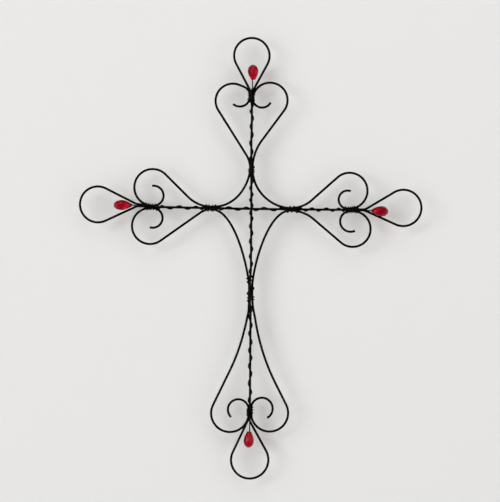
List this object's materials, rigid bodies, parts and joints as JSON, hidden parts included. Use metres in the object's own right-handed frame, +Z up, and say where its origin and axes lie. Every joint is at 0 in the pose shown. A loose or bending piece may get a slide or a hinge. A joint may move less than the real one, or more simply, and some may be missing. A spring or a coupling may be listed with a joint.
{
  "type": "wire wall cross with glass drops",
  "caption": "Openwork wall cross bent from black wire, with looped ends, heart-shaped scrolls, wire-bound joints and red glass drops; hangs by its top loop.",
  "frame": {"origin": "the point inside the top of the upper loop where the cross hangs", "axes": "+Z up along the upright, +X to the right as seen from the front, +Y towards the wall; the front looks towards -Y"},
  "size_m": [0.3281, 0.0123, 0.4227],
  "materials": {
    "black_wire": "black annealed steel wire, dark oxide skin with a soft satin sheen, 2.2 mm",
    "thin_wire": "thin black annealed binding wire, satin, about 1.1 mm",
    "red_glass": "clear deep red pressed glass, faceted"
  },
  "bodies": {
    "root": {"upright_wire": "black_wire", "crossbar_wire": "black_wire", "scroll_top_left": "black_wire", "scroll_top_right": "black_wire", "scroll_bottom_left": "black_wire", "scroll_bottom_right": "black_wire", "upright_binding_wire": "thin_wire", "crossbar_binding_wire": "thin_wire", "glass_drop_top": "red_glass", "glass_drop_bottom": "red_glass", "glass_drop_left": "red_glass", "glass_drop_right": "red_glass"}
  },
  "joints": []
}
